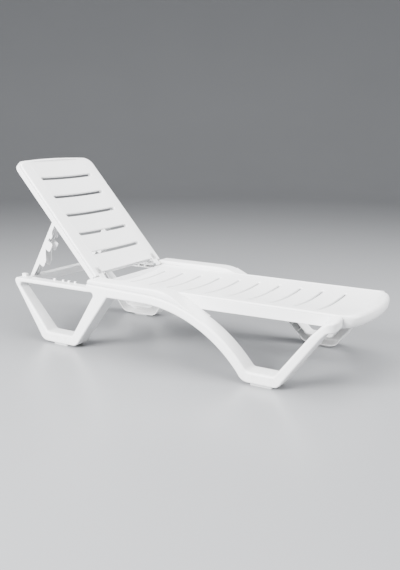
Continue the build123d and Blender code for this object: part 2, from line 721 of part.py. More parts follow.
os.makedirs("parts", exist_ok=True)
pieces = build()
whole = Compound(list(pieces.values())).bounding_box()
to_middle = -(whole.min.X + whole.max.X) / 2
for name, piece in pieces.items():
    export_step(Pos(to_middle, 0, 0) * piece, f"parts/{name}.step")
pivot_x, pivot_z = stay_pivot()
print("hinge axis", round(to_middle, 3), hinge_height)
print("stay pivot", round(pivot_x + to_middle, 3), round(pivot_z, 3))
print("stay angle", round(stay_line()[1], 3))
print("whole", whole.size)
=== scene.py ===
"""A reclining sun lounger, moulded in white resin, with its studio.

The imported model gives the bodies, the hinge and the small metal and rubber pieces. The mouldings
are made here in millimetres, with X = 0 on the backrest's hinge axis and Z = 0 on the ground, and
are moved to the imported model's place as they are finished.
"""
import json
from math import asin, atan2, ceil, copysign, cos, hypot, pi, radians, sin, sqrt, tan

import bmesh
import bpy
import numpy as np
from bpy.props import FloatProperty, FloatVectorProperty, IntProperty, PointerProperty
from mathutils import Matrix, Vector
from mathutils.geometry import delaunay_2d_cdt


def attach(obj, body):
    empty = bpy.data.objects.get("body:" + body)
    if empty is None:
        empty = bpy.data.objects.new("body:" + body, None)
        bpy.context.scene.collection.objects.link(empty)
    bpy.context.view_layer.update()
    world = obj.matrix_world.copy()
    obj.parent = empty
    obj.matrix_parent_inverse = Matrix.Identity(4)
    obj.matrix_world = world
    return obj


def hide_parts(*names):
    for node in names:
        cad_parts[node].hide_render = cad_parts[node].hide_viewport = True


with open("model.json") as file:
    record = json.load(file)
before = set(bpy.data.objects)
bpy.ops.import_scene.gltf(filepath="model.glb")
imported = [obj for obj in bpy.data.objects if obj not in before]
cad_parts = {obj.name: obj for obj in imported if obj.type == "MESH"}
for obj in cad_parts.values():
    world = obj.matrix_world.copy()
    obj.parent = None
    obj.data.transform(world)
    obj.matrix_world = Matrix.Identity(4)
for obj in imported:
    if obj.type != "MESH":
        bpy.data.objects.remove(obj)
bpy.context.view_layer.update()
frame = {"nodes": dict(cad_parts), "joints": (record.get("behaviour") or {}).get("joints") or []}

bl_info = {
    "name": "Reclining Sun Lounger",
    "version": (1, 0, 0),
    "blender": (4, 5, 0),
    "location": "View3D > Sidebar > Lounger",
    "description": "Makes the mouldings, the finishes and the studio of a resin sun lounger",
    "category": "Add Mesh",
}

JOINTS = {joint["name"]: joint for joint in frame["joints"]}
HINGE = Vector(JOINTS["backrest_hinge"]["pos_m"])
MM = 0.001

# ---- seat deck, in millimetres ----
DECK_REAR, DECK_TIP, DECK_HALF, DECK_HEIGHT = 25.0, 1268.0, 249.0, 314.0
DECK_BOTTOM, ROLL_BOTTOM, ROLL_FROM = 254.0, 262.0, 1195.0
SKIRT_RISE_FROM = 620.0
TIP_RADIUS, TIP_CORNER = 760.0, 60.0
DISH_HALF, DISH_DEPTH = 237.0, 20.0
SEAT_SLOT_FIRST, SEAT_SLOT_PITCH = 97.5, 106.5
# ---- side frames ----
HALF_WIDTH, SPLAY, PAD = 360.0, 27.0, 8.0
LEAN = SPLAY / (DECK_HEIGHT - PAD)
ARCH_CENTRE, ARCH_RADIUS, ARCH_RIB, UNDERSIDE = 295.0, 660.0, 42.0, 261.0
ARCH_DEPTH, LEG_INNER = 80.0, 285.0
BLOCK_REAR, SHOULDER_TOP, SHOULDER_END, SHOULDER_SLOPE = -20.0, 331.0, 605.0, 27.3
RAIL_TOP, RAIL_HEIGHT, RAIL_END = 294.0, 20.0, -465.0
FOOT_TOP = 54.0
BLOCK_FACE, BLOCK_TOP, BLOCK_CORNER, BLOCK_FALL = 1192.0, 312.0, 42.0, 17.0
BLOCK_LOW = 262.0
LEDGE_INNER, LEDGE_STUDS = -277.0, (-250.0, -195.0, -160.0, -120.0)
WEB_THICKNESS, WEB_FIRST, WEB_PITCH = 3.0, 4.0, 3.9       # the last two in degrees
# ---- backrest, lying flat: X runs down from the top edge to the hinge, Z up is its front ----
BACK_HALF, BACK_TOP, BACK_ARCH, BACK_CORNER = 262.0, -718.0, 3160.0, 38.0
BACK_FRONT, RIM_OUT, RIM_DEPTH = 8.0, 12.0, 30.0
BACK_DISH, BACK_DISH_HALF = 7.0, 200.0
PANEL_BOTTOM, RIM_BOTTOM = -36.0, -22.0
BACK_SLOT_FIRST, BACK_SLOT_PITCH = 144.0, 114.6
LUG_INNER, LUG_OUTER, LUG_ROUND = 206.0, 240.0, 11.0
EARS, EAR_ALONG, EAR_DOWN = (190.0, 250.0), -380.0, -12.0
# ---- rear crossbar ----
BAR_FROM, BAR_TO, BAR_TOP, BAR_BOTTOM, BAR_END = -461.0, -421.0, 288.0, 250.0, 280.0
TROUGH_FLOOR, TROUGH_HALF, BAR_WALL, BAR_LINE = 266.0, 255.0, 4.0, 263.0
ARM_MIDDLE, ARM_HALF = 220.0, 25.0
RIB_THICKNESS = 4.0
# ---- studio, in metres ----
CAMERA_PLACE = (1.6810, -2.7501, 1.0235)
CAMERA_AHEAD, CAMERA_UP = (-0.50450, 0.83444, -0.22179), (-0.11729, 0.18826, 0.97509)
BACKDROP_RISE, FLOOR_SIDES = 5.0, 96


# ------------------------------------------------------------------ shapes
def smooth_step(low, high, value):
    """0 below low, 1 above high, and a soft rise between."""
    t = np.clip((np.asarray(value, float) - low) / (high - low), 0, 1)
    return t * t * (3 - 2 * t)


class Outline:
    """A closed line with rounded corners, which can be drawn in towards its left-hand side.

    The corners are (u, v) or (u, v, radius), anticlockwise, or clockwise round a hole.
    """

    def __init__(self, corners, spacing=25.0):
        spots = np.array([corner[:2] for corner in corners], float)
        radii = [corner[2] if len(corner) > 2 else 0.0 for corner in corners]
        arriving = spots - np.roll(spots, 1, axis=0)
        arriving /= np.linalg.norm(arriving, axis=1)[:, None]
        leaving = np.roll(arriving, -1, axis=0)
        points, inward = [], []
        for spot, radius, a, b in zip(spots, radii, arriving, leaving):
            turn = atan2(a[0] * b[1] - a[1] * b[0], a @ b)
            left = np.array((-a[1], a[0]))
            if radius <= 0 or abs(turn) < 0.02:
                other = np.array((-b[1], b[0]))
                points.append(spot)
                inward.append((left + other) / (1 + left @ other))
                continue
            side = copysign(1, turn)
            centre = spot - a * radius * tan(abs(turn) / 2) + left * radius * side
            steps = max(2, ceil(abs(turn) * (2.5 + 0.8 * sqrt(radius))))
            for angle in np.linspace(0, turn, steps + 1):
                normal = np.array((left[0] * cos(angle) - left[1] * sin(angle),
                                   left[0] * sin(angle) + left[1] * cos(angle)))
                points.append(centre - normal * radius * side)
                inward.append(normal)
        self.points, self.inward = self.divided(points, inward, spacing)

    @staticmethod
    def divided(points, inward, spacing):
        """Split the long straight runs."""
        more_points, more_inward = [], []
        for i, (p, n) in enumerate(zip(points, inward)):
            q, m = points[(i + 1) % len(points)], inward[(i + 1) % len(points)]
            count = max(1, ceil(hypot(*(q - p)) / spacing))
            for k in range(count):
                more_points.append(p + (q - p) * k / count)
                more_inward.append(n + (m - n) * k / count)
        return np.array(more_points), np.array(more_inward)

    def ring(self, inset):
        """The line drawn in by a distance, or by one distance for each point."""
        inset = np.broadcast_to(inset, len(self.points))
        return self.points + self.inward * inset[:, None]


def across(ring, face, past=0.0):
    """A ring in X and Z, put on a face whose Y depends on both, and pushed past it."""
    u, v = ring.T
    return np.array((u, face(u, v) + past, v)).T


def lifted(ring, surface, past=0.0):
    """A ring in plan, put on a surface whose height depends on both, and pushed past it."""
    u, v = ring.T
    return np.array((u, v, surface(u, v) + past)).T


def within(spots, loops):
    """Which spots lie inside an odd number of loops."""
    odd = np.zeros(len(spots), bool)
    for loop in loops:
        for (ax, ay), (bx, by) in zip(loop, np.roll(loop, -1, axis=0)):
            crossed = (ay > spots[:, 1]) != (by > spots[:, 1])
            if crossed.any():
                odd ^= crossed & (spots[:, 0] < ax + (spots[:, 1] - ay) / (by - ay) * (bx - ax))
    return odd


class Shell:
    """A closed mesh in the making: loops of points, bands between them, and filled loops."""

    def __init__(self):
        self.points, self.faces = [], []

    def add(self, points):
        start = len(self.points)
        self.points += [tuple(map(float, point)) for point in points]
        return list(range(start, len(self.points)))

    def band(self, a, b):
        """Join two loops that have the same number of points."""
        count = len(a)
        self.faces += [(a[i], a[(i + 1) % count], b[(i + 1) % count], b[i]) for i in range(count)]

    def bands(self, rings):
        """Add rings of points, join each to the next, and return the first and last loops."""
        loops = [self.add(ring) for ring in rings]
        for a, b in zip(loops, loops[1:]):
            self.band(a, b)
        return loops[0], loops[-1]

    def fill(self, loops, axes, inner=None, lift=None):
        """Fill between an outer loop and its holes, through extra inner points on a surface."""
        index = [i for loop in loops for i in loop]
        flat = np.array([[self.points[i][axis] for axis in axes] for i in index])
        edges, outlines, at = [], [], 0
        for loop in loops:
            count = len(loop)
            edges += [(at + k, at + (k + 1) % count) for k in range(count)]
            outlines.append(flat[at:at + count])
            at += count
        if inner is not None and len(inner):
            inner = inner[within(inner, outlines)]
            apart = np.array([np.min(np.hypot(*(flat - spot).T)) for spot in inner])
            inner = inner[apart > 5.0]
            index += self.add(lift(inner))
            flat = np.vstack((flat, inner))
        found = delaunay_2d_cdt([Vector(spot) for spot in flat], edges, [], 0, 1e-5)
        spots = np.array([tuple(spot) for spot in found[0]])
        origin = [source[0] if source else int(np.argmin(np.hypot(*(flat - spot).T)))
                  for source, spot in zip(found[3], spots)]
        faces = [face for face in found[2] if len(face) == 3]
        centres = np.array([spots[list(face)].mean(axis=0) for face in faces])
        for face, kept in zip(faces, within(centres, outlines)):
            if kept:
                self.faces.append(tuple(index[origin[corner]] for corner in face))

    def prism(self, outline, y0, y1, edge):
        """A solid between two planes across Y, with rounded edges."""
        angles = np.linspace(0, pi / 2, 4)
        rings = [np.insert(outline.ring(edge * (1 - cos(a))), 1, y0 + edge * (1 - sin(a)), axis=1)
                 for a in angles[::-1]]
        rings += [np.insert(outline.ring(edge * (1 - cos(a))), 1, y1 - edge * (1 - sin(a)), axis=1)
                  for a in angles]
        first, last = self.bands(rings)
        self.fill([first], (0, 2))
        self.fill([last], (0, 2))

    def block(self, x0, x1, y0, y1, z0, z1, edge=1.2):
        """A box with rounded edges."""
        self.prism(Outline([(x0, z0, edge), (x1, z0, edge), (x1, z1, edge), (x0, z1, edge)],
                           spacing=400), y0, y1, min(edge, (y1 - y0) / 3))

    def mesh(self, place):
        """The finished mesh, in metres, with its faces pointing outwards."""
        mesh = bpy.data.meshes.new("shell")
        mesh.from_pydata(place(np.array(self.points)).tolist(), [], self.faces)
        made = bmesh.new()
        made.from_mesh(mesh)
        bmesh.ops.remove_doubles(made, verts=made.verts, dist=2e-6)
        bmesh.ops.dissolve_degenerate(made, edges=made.edges, dist=1e-6)
        bmesh.ops.recalc_face_normals(made, faces=made.faces)
        made.to_mesh(mesh)
        made.free()
        return mesh


def as_packed(points):
    """From this file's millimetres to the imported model's metres."""
    return points * MM + (HINGE.x, 0, 0)


def leaned_back(points):
    """From the backrest lying flat, in millimetres, to where it stands, in metres."""
    turn = radians(-JOINTS["backrest_hinge"]["range_deg"][0])
    x, y, z = points.T * MM
    return np.array((x * cos(turn) + z * sin(turn) + HINGE.x, y,
                     z * cos(turn) - x * sin(turn) + HINGE.z)).T


def placed(name, data):
    """A new object in the scene."""
    made = bpy.data.objects.new(name, data)
    bpy.context.scene.collection.objects.link(made)
    return made


def joined(name, meshes):
    """One object from several meshes."""
    made = bmesh.new()
    for mesh in meshes:
        made.from_mesh(mesh)
    mesh = bpy.data.meshes.new(name)
    made.to_mesh(mesh)
    made.free()
    return placed(name, mesh)


def finished(piece, body, node, sharp=38.0):
    """Shade a moulding, give it its resin, and hand it to the body it rides on."""
    mesh = piece.data
    mesh.materials.clear()
    mesh.materials.append(finish_of(white_resin))
    mesh.polygons.foreach_set("use_smooth", [True] * len(mesh.polygons))
    mesh.set_sharp_from_angle(angle=radians(sharp))
    soft = piece.modifiers.new("Even shading", "WEIGHTED_NORMAL")
    soft.keep_sharp = True
    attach(piece, body)
    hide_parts(node)


def mirrored(mesh):
    """The left-hand copy of a right-hand mesh."""
    copy = mesh.copy()
    copy.transform(Matrix.Diagonal((1, -1, 1, 1)))
    copy.flip_normals()
    return copy


# ------------------------------------------------------------------ what repeats
def repeat_tree():
    """A node tree that repeats a shape along a step, or round a pivot."""
    tree = bpy.data.node_groups.new("Repeated Rib", "GeometryNodeTree")
    sockets = {}
    for name, kind in (("Shape", "NodeSocketGeometry"), ("Count", "NodeSocketInt"),
                       ("Step", "NodeSocketVector"), ("Turn", "NodeSocketFloat"),
                       ("First Turn", "NodeSocketFloat"), ("Pivot", "NodeSocketVector"),
                       ("Lean", "NodeSocketFloat"), ("Material", "NodeSocketMaterial")):
        sockets[name] = tree.interface.new_socket(name, in_out="INPUT", socket_type=kind)
    tree.interface.new_socket("Shape", in_out="OUTPUT", socket_type="NodeSocketGeometry")

    def node(kind, links=None, **settings):
        made = tree.nodes.new(kind)
        for key, value in settings.items():
            setattr(made, key, value)
        for socket, value in (links or {}).items():
            if isinstance(value, bpy.types.NodeSocket):
                tree.links.new(value, made.inputs[socket])
            else:
                made.inputs[socket].default_value = value
        return made

    given = node("NodeGroupInput").outputs
    line = node("GeometryNodeMeshLine", {"Count": given["Count"], "Offset": given["Step"]})
    copies = node("GeometryNodeInstanceOnPoints",
                  {"Points": line.outputs["Mesh"], "Instance": given["Shape"]})
    index = node("GeometryNodeInputIndex")
    turned = node("ShaderNodeMath", {0: index.outputs[0], 1: given["Turn"], 2: given["First Turn"]},
                  operation="MULTIPLY_ADD")
    about_y = node("ShaderNodeCombineXYZ", {"Y": turned.outputs[0]})
    placed = node("GeometryNodeRotateInstances",
                  {"Instances": copies.outputs[0], "Rotation": about_y.outputs[0],
                   "Pivot Point": given["Pivot"], "Local Space": False})
    real = node("GeometryNodeRealizeInstances", {"Geometry": placed.outputs[0]})
    height = node("ShaderNodeSeparateXYZ", {0: node("GeometryNodeInputPosition").outputs[0]})
    slide = node("ShaderNodeMath", {0: height.outputs["Z"], 1: given["Lean"]}, operation="MULTIPLY")
    shift = node("ShaderNodeCombineXYZ", {"Y": slide.outputs[0]})
    leaned = node("GeometryNodeSetPosition",
                  {"Geometry": real.outputs[0], "Offset": shift.outputs[0]})
    coloured = node("GeometryNodeSetMaterial",
                    {"Geometry": leaned.outputs[0], "Material": given["Material"]})
    node("NodeGroupOutput", {0: coloured.outputs[0]})
    return tree, {name: socket.identifier for name, socket in sockets.items()}


def repeated(shape, material, count, step=(0, 0, 0), turn=0.0, first_turn=0.0, pivot=(0, 0, 0),
             lean=0.0):
    """Repeat a mesh through the node tree, and return the result as a plain mesh."""
    tree, identifier = repeat_tree()
    holder = placed("repeated", shape)
    modifier = holder.modifiers.new("Repeat", "NODES")
    modifier.node_group = tree
    for name, value in (("Count", count), ("Step", step), ("Turn", radians(turn)),
                        ("First Turn", radians(first_turn)), ("Pivot", pivot), ("Lean", lean),
                        ("Material", material)):
        modifier[identifier[name]] = value
    graph = bpy.context.evaluated_depsgraph_get()
    mesh = bpy.data.meshes.new_from_object(holder.evaluated_get(graph))
    holder.modifiers.remove(modifier)
    bpy.data.objects.remove(holder)
    bpy.data.node_groups.remove(tree)
    return mesh


# ------------------------------------------------------------------ side frames
def arc_height(x, radius):
    """Height of one of the arch's arcs at x."""
    return UNDERSIDE - ARCH_RADIUS + np.sqrt(radius ** 2 - (np.asarray(x) - ARCH_CENTRE) ** 2)


def arc_reach(z, radius):
    """Where one of the arch's arcs comes down to height z."""
    return ARCH_CENTRE + sqrt(radius ** 2 - (z - UNDERSIDE + ARCH_RADIUS) ** 2)


def outer_face(x, z):
    """Y of the right frame's leaning outer face, rounded away at its foot end."""
    past = np.clip(np.asarray(x) - (BLOCK_FACE - BLOCK_CORNER), 0, BLOCK_CORNER)
    back = BLOCK_CORNER - np.sqrt(BLOCK_CORNER ** 2 - past ** 2 + 1e-9)
    return -HALF_WIDTH + LEAN * (np.asarray(z) - PAD) + back


def inner_face(x, z):
    """Y of the right frame's open inner side."""
    x, z = np.asarray(x, float), np.asarray(z, float)
    leaning = -HALF_WIDTH + ARCH_DEPTH + LEAN * (z - PAD)
    beside_deck = smooth_step(DECK_BOTTOM - 6, DECK_BOTTOM + 4, z)
    ahead = leaning + (-DECK_HALF - leaning) * beside_deck
    return -LEG_INNER + (ahead + LEG_INNER) * smooth_step(BLOCK_REAR - 12, BLOCK_REAR + 6, x)


def frame_outlines():
    """The main band of the frame, the opening in its leg, and the bead of its shoulder."""
    top = ARCH_RADIUS + ARCH_RIB
    crown_top = float(arc_height(ARCH_CENTRE, top))
    merge_z = float(arc_height(SHOULDER_END, top))
    knee_x = SHOULDER_END - (SHOULDER_TOP - merge_z) / tan(radians(SHOULDER_SLOPE))
    upper = [(x, float(arc_height(x, top))) for x in
             np.linspace(ARCH_CENTRE, arc_reach(FOOT_TOP, top), 30)[1:-1]]
    lower = [(x, float(arc_height(x, ARCH_RADIUS))) for x in
             np.linspace(ARCH_CENTRE, arc_reach(PAD, ARCH_RADIUS), 30)[1:-1]]
    band = [(RAIL_END, RAIL_TOP - 26, 30), (-270, PAD, 60), (-65, PAD, 45),
            (108, UNDERSIDE, 10), (ARCH_CENTRE, UNDERSIDE), *lower,
            (arc_reach(PAD, ARCH_RADIUS), PAD, 60), (974, PAD, 40), (1160, BLOCK_LOW, 12),
            (BLOCK_FACE, BLOCK_LOW, 14), (BLOCK_FACE, BLOCK_TOP, 14), (1151, BLOCK_TOP, 34),
            (955, FOOT_TOP, 16), (arc_reach(FOOT_TOP, top), FOOT_TOP, 26), *upper[::-1],
            (ARCH_CENTRE, crown_top), (150, crown_top + 4.5, 400), (-14, 311, 7),
            (-18, RAIL_TOP, 5), (RAIL_END, RAIL_TOP, 14)]
    opening = [(-447, 274, 14), (35, 274, 14), (-92, FOOT_TOP, 16), (-242, FOOT_TOP, 20)]
    along = [(x, float(arc_height(x, top))) for x in np.linspace(ARCH_CENTRE, SHOULDER_END, 22)]
    bead = [(-14, 311, 3), (150, crown_top + 4.5, 400), *along[:-1], (SHOULDER_END, merge_z),
            (knee_x, SHOULDER_TOP, 240), (-10, SHOULDER_TOP, 9)]
    return Outline(band, 14), Outline(opening, 14), Outline(bead, 14)


def settled(points):
    """Let the top of the end block fall towards its outer face."""
    x, y, z = points.T
    fall = BLOCK_FALL * np.clip((-y - DECK_HALF) / (HALF_WIDTH - SPLAY - DECK_HALF), 0, 1)
    share = smooth_step(1070, 1110, x) * np.clip((z - 235) / (BLOCK_TOP - 235), 0, 1)
    return np.array((x, y, z - fall * share)).T


def frame_band(shell, edge, wall):
    """The hollow main band of a frame, with the opening of its head-end leg."""
    first, last = [], []
    for outline in frame_outlines()[:2]:
        x, z = outline.points.T
        slim = (z > RAIL_TOP - RAIL_HEIGHT - 3) & (x < BLOCK_REAR + 8)
        roundness = np.where(slim | (z < 30), 0.72 * edge, edge)
        roundness = np.where((np.abs(x + 14) < 22) & (z > RAIL_TOP - 4), 0.5 * edge, roundness)
        rings = []
        for inset, face, past in ((wall, outer_face, wall), (wall, inner_face, 0.0),
                                  (0.8, inner_face, 0.0), (0.0, inner_face, -0.8)):
            rings.append(across(outline.ring(inset), face, past))
        for angle in np.linspace(0, pi / 2, 6):
            rings.append(across(outline.ring(roundness * (1 - cos(angle))), outer_face,
                                roundness * (1 - sin(angle))))
        a, b = shell.bands([settled(ring) for ring in rings])
        first.append(a)
        last.append(b)
    corner = np.array([(x, z) for x in np.arange(1146, BLOCK_FACE, 7.0)
                       for z in np.arange(236, BLOCK_TOP, 9.0)])
    for loops, depth in ((last, 0.0), (first, wall)):
        shell.fill(loops, (0, 2), corner,
                   lambda spots: settled(across(spots, outer_face, depth)))


def frame_bead(shell, edge):
    """The raised bead along the frame's shoulder, which runs out on the arch."""
    bead = frame_outlines()[2]
    x = bead.points[:, 0]
    top = ARCH_RADIUS + ARCH_RIB
    thickness = np.where(x < ARCH_CENTRE, 24.0, 0.0)
    slope_top = np.minimum(SHOULDER_TOP, float(arc_height(SHOULDER_END, top))
                           + (SHOULDER_END - x) * tan(radians(SHOULDER_SLOPE)))
    beyond = x >= ARCH_CENTRE
    thickness[beyond] = (slope_top - arc_height(np.minimum(x, SHOULDER_END), top))[beyond]
    roundness = np.clip(0.42 * thickness, 0.05, edge)
    angles = np.linspace(0, pi / 2, 6)
    rings = [across(bead.ring(roundness * (1 - cos(a))), lambda u, v: -DECK_HALF - 0.3,
                    -roundness * (1 - sin(a))) for a in angles[::-1]]
    rings += [across(bead.ring(roundness * (1 - cos(a))), outer_face,
                     2.2 + roundness * (1 - sin(a))) for a in angles]
    first, last = shell.bands(rings)
    shell.fill([first], (0, 2))
    shell.fill([last], (0, 2))


def frame_trim(shell):
    """The ledge and its studs, the end stop, and the bracket that takes the crossbar."""
    shell.block(-300, -60, -LEG_INNER - 4, LEDGE_INNER, 274, 279)
    for x in LEDGE_STUDS:
        shell.block(x - 6, x + 6, -LEG_INNER - 3, LEDGE_INNER, 276, 302, 2.5)
    shell.block(-455, -427, LEDGE_INNER - 20, LEDGE_INNER, 287, 308, 4)
    for x0, x1, top in ((BAR_FROM - 4, BAR_FROM, 290), (BAR_TO, BAR_TO + 4, 290),
                        (BAR_FROM - 4, BAR_TO + 4, BAR_BOTTOM)):
        shell.block(x0, x1, -LEG_INNER - 4, -265, 246, top)
    # the boss that takes the hinge pin stands a little proud of the block's rear end
    shell.prism(Outline([(13 * cos(a), 316 + 13 * sin(a)) for a in
                         np.linspace(0, 2 * pi, 25)[:-1]], 400), -299, -DECK_HALF - 0.2, 1.0)


def web_plate():
    """One stiffening web of the arch, at the arch's top."""
    shell, half = Shell(), WEB_THICKNESS / 2
    shell.block(ARCH_CENTRE - half, ARCH_CENTRE + half, -357.5, -290,
                UNDERSIDE + 3, UNDERSIDE + ARCH_RIB - 3, 0.6)
    return shell.mesh(as_packed)


# ------------------------------------------------------------------ seat deck
def seat_dish(y):
    """Height of the dished slats across the deck."""
    radius = (DISH_HALF ** 2 + DISH_DEPTH ** 2) / (2 * DISH_DEPTH)
    y = np.clip(np.abs(y), 0, DISH_HALF)
    return DECK_HEIGHT - DISH_DEPTH + radius - np.sqrt(radius ** 2 - y ** 2)


def seat_top(x, y):
    """Height of the deck inside its border, rising into the roll at the foot end."""
    inset = TIP_RADIUS - np.hypot(np.asarray(x) - (DECK_TIP - TIP_RADIUS), y)
    dish = seat_dish(y)
    return dish + (DECK_HEIGHT - 0.4 - dish) * (1 - smooth_step(18, 66, inset))


def deck_outline():
    """Plan of the deck."""
    centre = DECK_TIP - TIP_RADIUS
    reach = asin(DECK_HALF / TIP_RADIUS)
    tip = [(centre + TIP_RADIUS * cos(a), TIP_RADIUS * sin(a))
           for a in np.linspace(-reach, reach, 31) if abs(a) < 0.78 * reach]
    ends = [(centre + TIP_RADIUS * cos(reach), side * DECK_HALF, TIP_CORNER) for side in (-1, 1)]
    return Outline([(DECK_REAR, -DECK_HALF, 3), ends[0], *tip, ends[1], (DECK_REAR, DECK_HALF, 3)],
                   18)


def slot_outline(x, width, length, spacing=14):
    """A slot with round ends across Y, as a hole."""
    half, reach, r = width / 2, length / 2, width / 2 - 0.01
    return Outline([(x - half, -reach, r), (x - half, reach, r), (x + half, reach, r),
                    (x + half, -reach, r)], spacing)


def slat_edges(shell, slots, top, lip, drop, wall, under):
    """Round the slats' edges at each slot, and return the loops above and below."""
    above, below = [], []
    for slot in slots:
        rings = []
        for inset, down in ((lip, 0.0), (0.55 * lip, 0.16 * lip), (0.2 * lip, 0.5 * lip),
                            (0.0, lip), (0.0, drop - 0.8), (0.8, drop), (wall, drop),
                            (wall, under)):
            rings.append(lifted(slot.ring(inset), top, -down))
        a, b = shell.bands(rings)
        above.append(a)
        below.append(b)
    return above, below


def grid(x0, x1, y1, step_x, step_y):
    """Points spread over a panel, as far as y1 on either side."""
    return np.array([(x, y) for x in np.arange(x0, x1, step_x)
                     for y in np.arange(-y1, y1 + 1, step_y)])


def deck_shell(sizes):
    """The deck: skirts with a beaded border, dished slats between slots, and the end roll."""
    shell = Shell()
    plan = deck_outline()
    x = plan.points[:, 0]
    roll = smooth_step(1176, 1226, x)
    bottom = DECK_BOTTOM + (ROLL_BOTTOM - DECK_BOTTOM) * np.clip(
        (x - SKIRT_RISE_FROM) / (ROLL_FROM - SKIRT_RISE_FROM), 0, 1)
    wall = sizes.wall * 1000
    # inset and height of each step, on the skirts and on the roll
    steps = (((wall, 0.0, 0), (32.0, 1.0, 0)), ((0.8, 0.0, 0), (24.0, 0.0, 0)),
             ((0.0, 0.8, 0), (15.0, 0.8, 0)), ((0.0, 20.0, 0), (7.5, 4.2, 0)),
             ((0.0, -13.0, 1), (2.4, 10.5, 0)), ((1.8, -11.6, 1), (0.2, 19.0, 0)),
             ((1.8, -10.4, 1), (0.0, 25.0, 0)), ((0.0, -9.0, 1), (0.4, -17.0, 1)),
             ((0.0, -4.2, 1), (2.8, -10.0, 1)), ((1.3, -1.4, 1), (7.0, -4.6, 1)),
             ((3.6, -0.2, 1), (12.5, -1.3, 1)), ((6.0, 0.0, 1), (19.0, 0.0, 1)),
             ((10.4, 0.0, 1), (27.0, -1.2, 1)))
    rings = []
    for (inset_s, height_s, top_s), (inset_r, height_r, top_r) in steps:
        u, v = plan.ring(inset_s + (inset_r - inset_s) * roll).T
        skirt = (DECK_HEIGHT if top_s else bottom) + height_s
        rolled = (DECK_HEIGHT if top_r else ROLL_BOTTOM) + height_r
        rings.append(np.array((u, v, skirt + (rolled - skirt) * roll)).T)
    # the shadow line inside the border, then the slats' surface
    rings.append(lifted(plan.ring(12.0 + (31.0 - 12.0) * roll), seat_top, -0.3))
    rings.append(lifted(plan.ring(13.2 + (32.4 - 13.2) * roll), seat_top, -1.6))

    def slats(u, v):
        return seat_top(u, v) - 1.6

    hidden = lifted(plan.ring(wall + (33.0 - wall) * roll), slats, -wall)
    under, border = shell.bands([hidden, *rings])
    slots = [slot_outline(SEAT_SLOT_FIRST + i * SEAT_SLOT_PITCH, sizes.slot_width * 1000,
                          sizes.slot_length * 1000) for i in range(sizes.slot_count)]
    above, below = slat_edges(shell, slots, slats, 3.6, 10.0, 3.2, wall)
    inner = grid(DECK_REAR + 22, DECK_TIP - 30, 224, 17.75, 16)
    shell.fill([border, *above], (0, 1), inner, lambda spots: lifted(spots, slats))
    shell.fill([under, *below], (0, 1), inner, lambda spots: lifted(spots, slats, -wall))
    return shell


def cross_rib(x, half, top, low):
    """A rib across a panel, its upper edge just inside the panel's underside."""
    ys = np.linspace(-half, half, 17)
    shell = Shell()
    section = [(-half, low), (half, low)] + [(y, float(top(y))) for y in ys[::-1]]
    rings = [[(x + side * RIB_THICKNESS / 2, y, z) for y, z in section] for side in (-1, 1)]
    first, last = shell.bands(rings)
    shell.fill([first], (1, 2))
    shell.fill([last], (1, 2))
    return shell


# ------------------------------------------------------------------ backrest
def back_front(x, y):
    """Height of the backrest's front face, lying flat."""
    radius = (BACK_DISH_HALF ** 2 + BACK_DISH ** 2) / (2 * BACK_DISH)
    across = np.clip(np.abs(y), 0, BACK_DISH_HALF)
    dish = BACK_FRONT - BACK_DISH + radius - np.sqrt(radius ** 2 - across ** 2)
    line = np.exp(-((np.abs(y) - BACK_DISH_HALF - 3) / 1.6) ** 2)
    return dish - 0.9 * line


def back_ring(plan, inset, end=0.0):
    """The backrest's outline drawn in, or grown at its sides and top only, not at its foot."""
    ring = plan.ring(inset)
    if inset < 0:
        low = plan.points[:, 0] > PANEL_BOTTOM - 1
        ring[low, 0] = plan.points[low, 0] - end
    return ring


